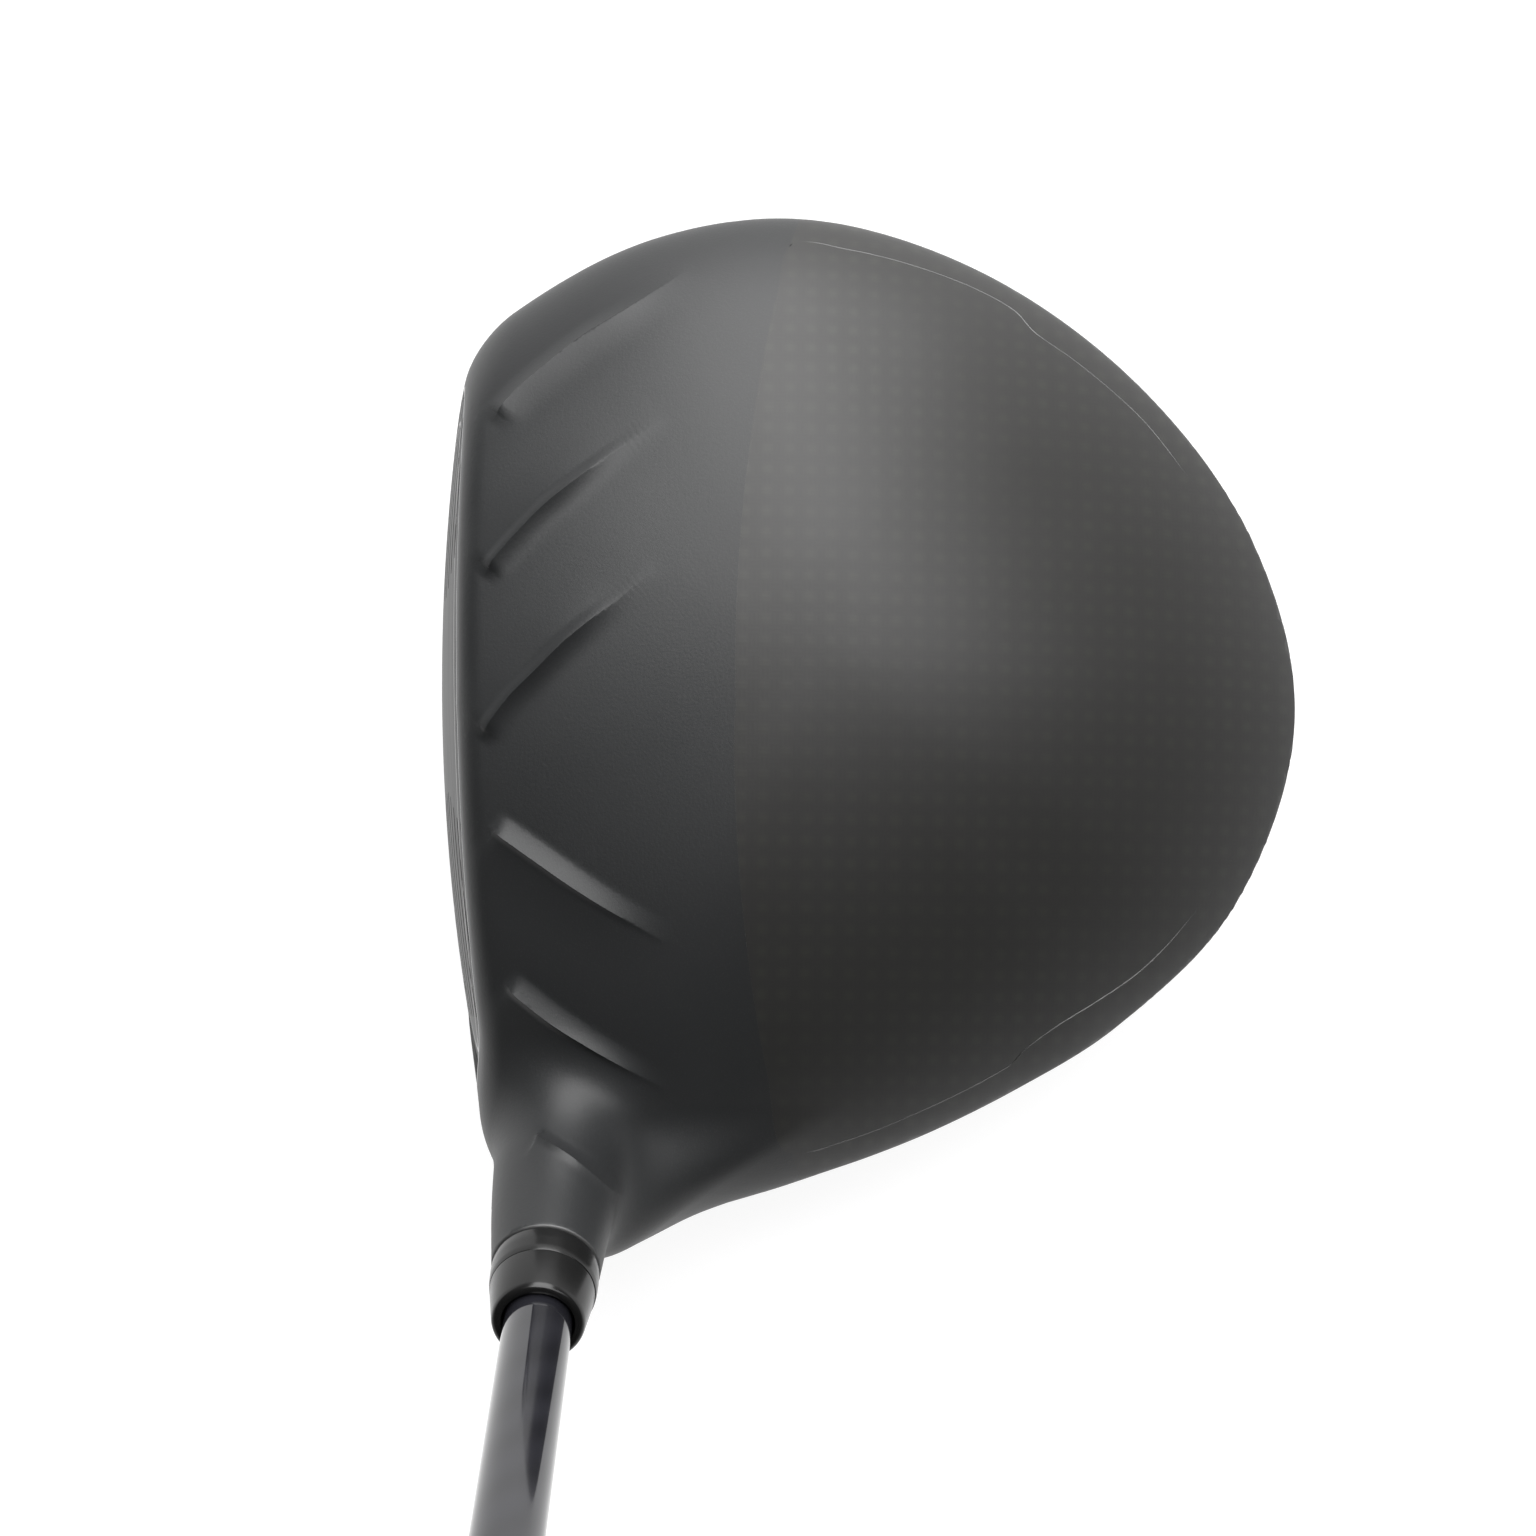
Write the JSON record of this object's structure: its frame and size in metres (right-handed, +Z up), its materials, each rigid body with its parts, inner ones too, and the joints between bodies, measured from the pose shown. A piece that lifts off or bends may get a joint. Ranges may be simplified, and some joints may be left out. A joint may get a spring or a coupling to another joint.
{
  "type": "golf driver",
  "caption": "Right-handed golf driver: hollow head with ridged crown and carbon rear panel, adjustable hosel sleeve, sliding rear weight, tapered shaft and rubber grip.",
  "frame": {"origin": "on the shaft axis at the middle of the grip, where the hands hold the club", "axes": "club at address: +Z up, face towards -Y, toe towards -X, the shaft rises towards +X; the sole's lowest line is parallel to the XY plane"},
  "size_m": [0.7066, 0.1232, 0.9984],
  "materials": {
    "head_paint": "satin charcoal paint over cast titanium",
    "face_metal": "brushed forged titanium",
    "carbon": "matte carbon composite",
    "badge_metal": "satin metal, blank",
    "dark_metal": "black anodised",
    "steel": "machined steel",
    "weight_metal": "sintered tungsten, satin",
    "black_plastic": "polished black",
    "soft_plastic": "matte black",
    "shaft_paint": "gloss black lacquer over carbon fibre",
    "tape": "double-sided paper tape",
    "grip_rubber": "moulded rubber"
  },
  "bodies": {
    "head": {"body_casting": "head_paint", "face_plate": "face_metal", "crown_panel": "carbon", "sole_badge": "badge_metal", "screw_washer": "steel", "screw_retainer": "soft_plastic"},
    "hosel_screw": {"hosel_screw": "steel"},
    "setting_ring": {"setting_ring": "dark_metal"},
    "shaft_assembly": {"adapter_sleeve": "dark_metal", "ferrule": "black_plastic", "shaft": "shaft_paint", "tip_plug": "soft_plastic", "grip_tape": "tape", "grip": "grip_rubber", "grip_end_cap": "grip_rubber"},
    "weight": {"rear_weight": "weight_metal", "weight_pad": "soft_plastic", "weight_washer": "steel", "weight_nut": "steel"},
    "weight_screw": {"weight_screw": "steel"}
  },
  "joints": [
    {"name": "hosel_release", "type": "slide", "parent": "head", "child": "setting_ring", "axis": [0.5225, 0, 0.8526], "range_m": [0, 0.05]},
    {"name": "loft_setting", "type": "hinge", "parent": "setting_ring", "child": "shaft_assembly", "pos_m": [-0.49214, 0, -0.82717], "axis": [0.5225, 0, 0.8526], "continuous": true},
    {"name": "hosel_screw_turn", "type": "hinge", "parent": "head", "child": "hosel_screw", "pos_m": [-0.49214, 0, -0.82717], "axis": [0.5225, 0, 0.8526], "continuous": true},
    {"name": "weight_slide", "type": "hinge", "parent": "head", "child": "weight", "pos_m": [-0.55749, 0.0526, -0.85932], "axis": [0, 0, 1], "range_deg": [-16, 16]},
    {"name": "weight_screw_turn", "type": "hinge", "parent": "weight", "child": "weight_screw", "pos_m": [-0.55749, 0.0936, -0.85932], "axis": [0, 0, 1], "continuous": true}
  ]
}
